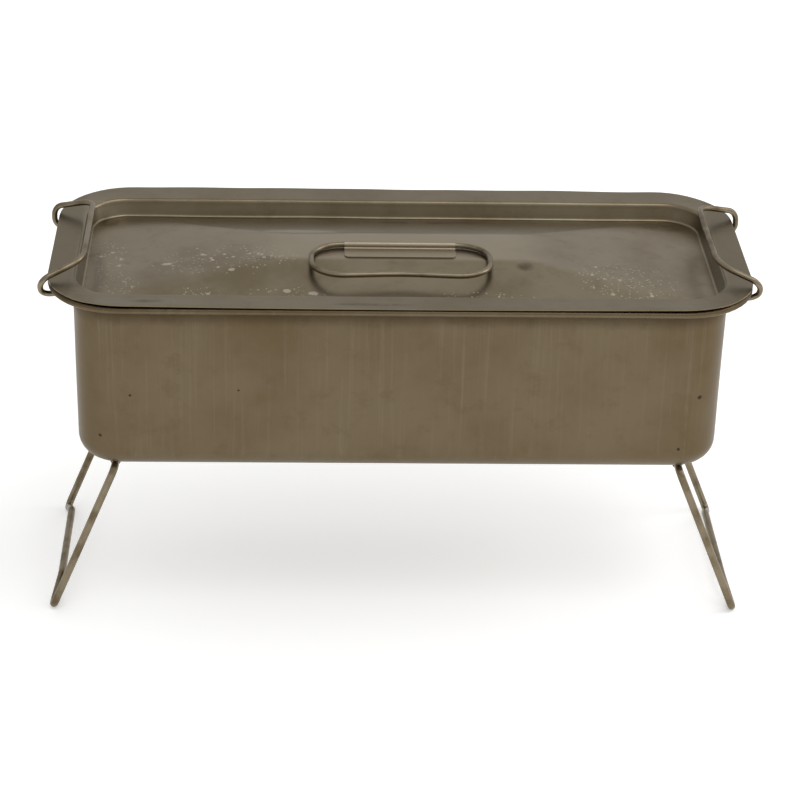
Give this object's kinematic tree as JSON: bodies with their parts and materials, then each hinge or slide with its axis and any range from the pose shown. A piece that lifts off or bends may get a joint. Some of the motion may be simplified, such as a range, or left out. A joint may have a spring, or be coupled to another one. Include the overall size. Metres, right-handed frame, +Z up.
{
  "type": "boiling instrument sterilizer",
  "caption": "Lidded rectangular steel pan for boiling instruments, on folding wire legs, with wire bails over the lid, a hinged lid handle and a lift-out perforated tray.",
  "frame": {"origin": "on the floor under the centre of the pan, with the legs splayed and the lid closed", "axes": "+X along the pan to its right end, +Y across the pan to the back, +Z up"},
  "size_m": [0.4414, 0.184, 0.2373],
  "materials": {
    "pan_steel": "dull drawn steel with a faint olive cast, light upright brushing and small pits",
    "lid_steel": "dull steel with pale scale spots and faint stains",
    "wire_steel": "smooth satin wire, worn brighter on the bends",
    "tray_steel": "satin sheet, cleaner than the outside"
  },
  "bodies": {
    "base": {"pan": "pan_steel", "rim_wire": "wire_steel", "left_leg_strap": "pan_steel", "right_leg_strap": "pan_steel", "left_bail_strap": "pan_steel", "right_bail_strap": "pan_steel"},
    "left_leg": {"left_leg": "wire_steel"},
    "right_leg": {"right_leg": "wire_steel"},
    "left_bail": {"left_bail": "wire_steel"},
    "right_bail": {"right_bail": "wire_steel"},
    "lid": {"lid": "lid_steel", "lid_handle_clip": "lid_steel"},
    "lid_handle": {"lid_handle": "wire_steel"},
    "tray": {"tray": "tray_steel", "tray_left_foot": "wire_steel", "tray_right_foot": "wire_steel", "tray_left_clip": "tray_steel", "tray_right_clip": "tray_steel"},
    "tray_left_handle": {"tray_left_handle": "wire_steel"},
    "tray_right_handle": {"tray_right_handle": "wire_steel"}
  },
  "joints": [
    {"name": "left_leg_fold", "type": "hinge", "parent": "base", "child": "left_leg", "pos_m": [-0.176, 0, 0.10262], "axis": [0, -1, 0], "range_deg": [0, 112]},
    {"name": "right_leg_fold", "type": "hinge", "parent": "base", "child": "right_leg", "pos_m": [0.176, 0, 0.10262], "axis": [0, 1, 0], "range_deg": [0, 112]},
    {"name": "lid_lift", "type": "slide", "parent": "base", "child": "lid", "axis": [0, 0, 1], "range_m": [0, 0.0085]},
    {"name": "left_bail_swing", "type": "hinge", "parent": "base", "child": "left_bail", "pos_m": [-0.2045, 0, 0.21452], "axis": [0, -1, 0], "range_deg": [0, 98]},
    {"name": "right_bail_swing", "type": "hinge", "parent": "base", "child": "right_bail", "pos_m": [0.2045, 0, 0.21452], "axis": [0, 1, 0], "range_deg": [0, 98]},
    {"name": "lid_handle_fold", "type": "hinge", "parent": "lid", "child": "lid_handle", "pos_m": [0, -0.003, 0.22707], "axis": [-1, 0, 0], "range_deg": [0, 180]},
    {"name": "tray_lift", "type": "slide", "parent": "base", "child": "tray", "axis": [0, 0, 1], "range_m": [0, 0.038]},
    {"name": "tray_left_handle_fold", "type": "hinge", "parent": "tray", "child": "tray_left_handle", "pos_m": [-0.1681, 0, 0.12307], "axis": [0, -1, 0], "range_deg": [0, 110]},
    {"name": "tray_right_handle_fold", "type": "hinge", "parent": "tray", "child": "tray_right_handle", "pos_m": [0.1681, 0, 0.12307], "axis": [0, 1, 0], "range_deg": [0, 110]}
  ],
  "couplings": [
    {"joint": "left_bail_swing", "follows": "lid_lift", "rad_per_m": 201.21},
    {"joint": "right_bail_swing", "follows": "lid_lift", "rad_per_m": 201.21}
  ]
}
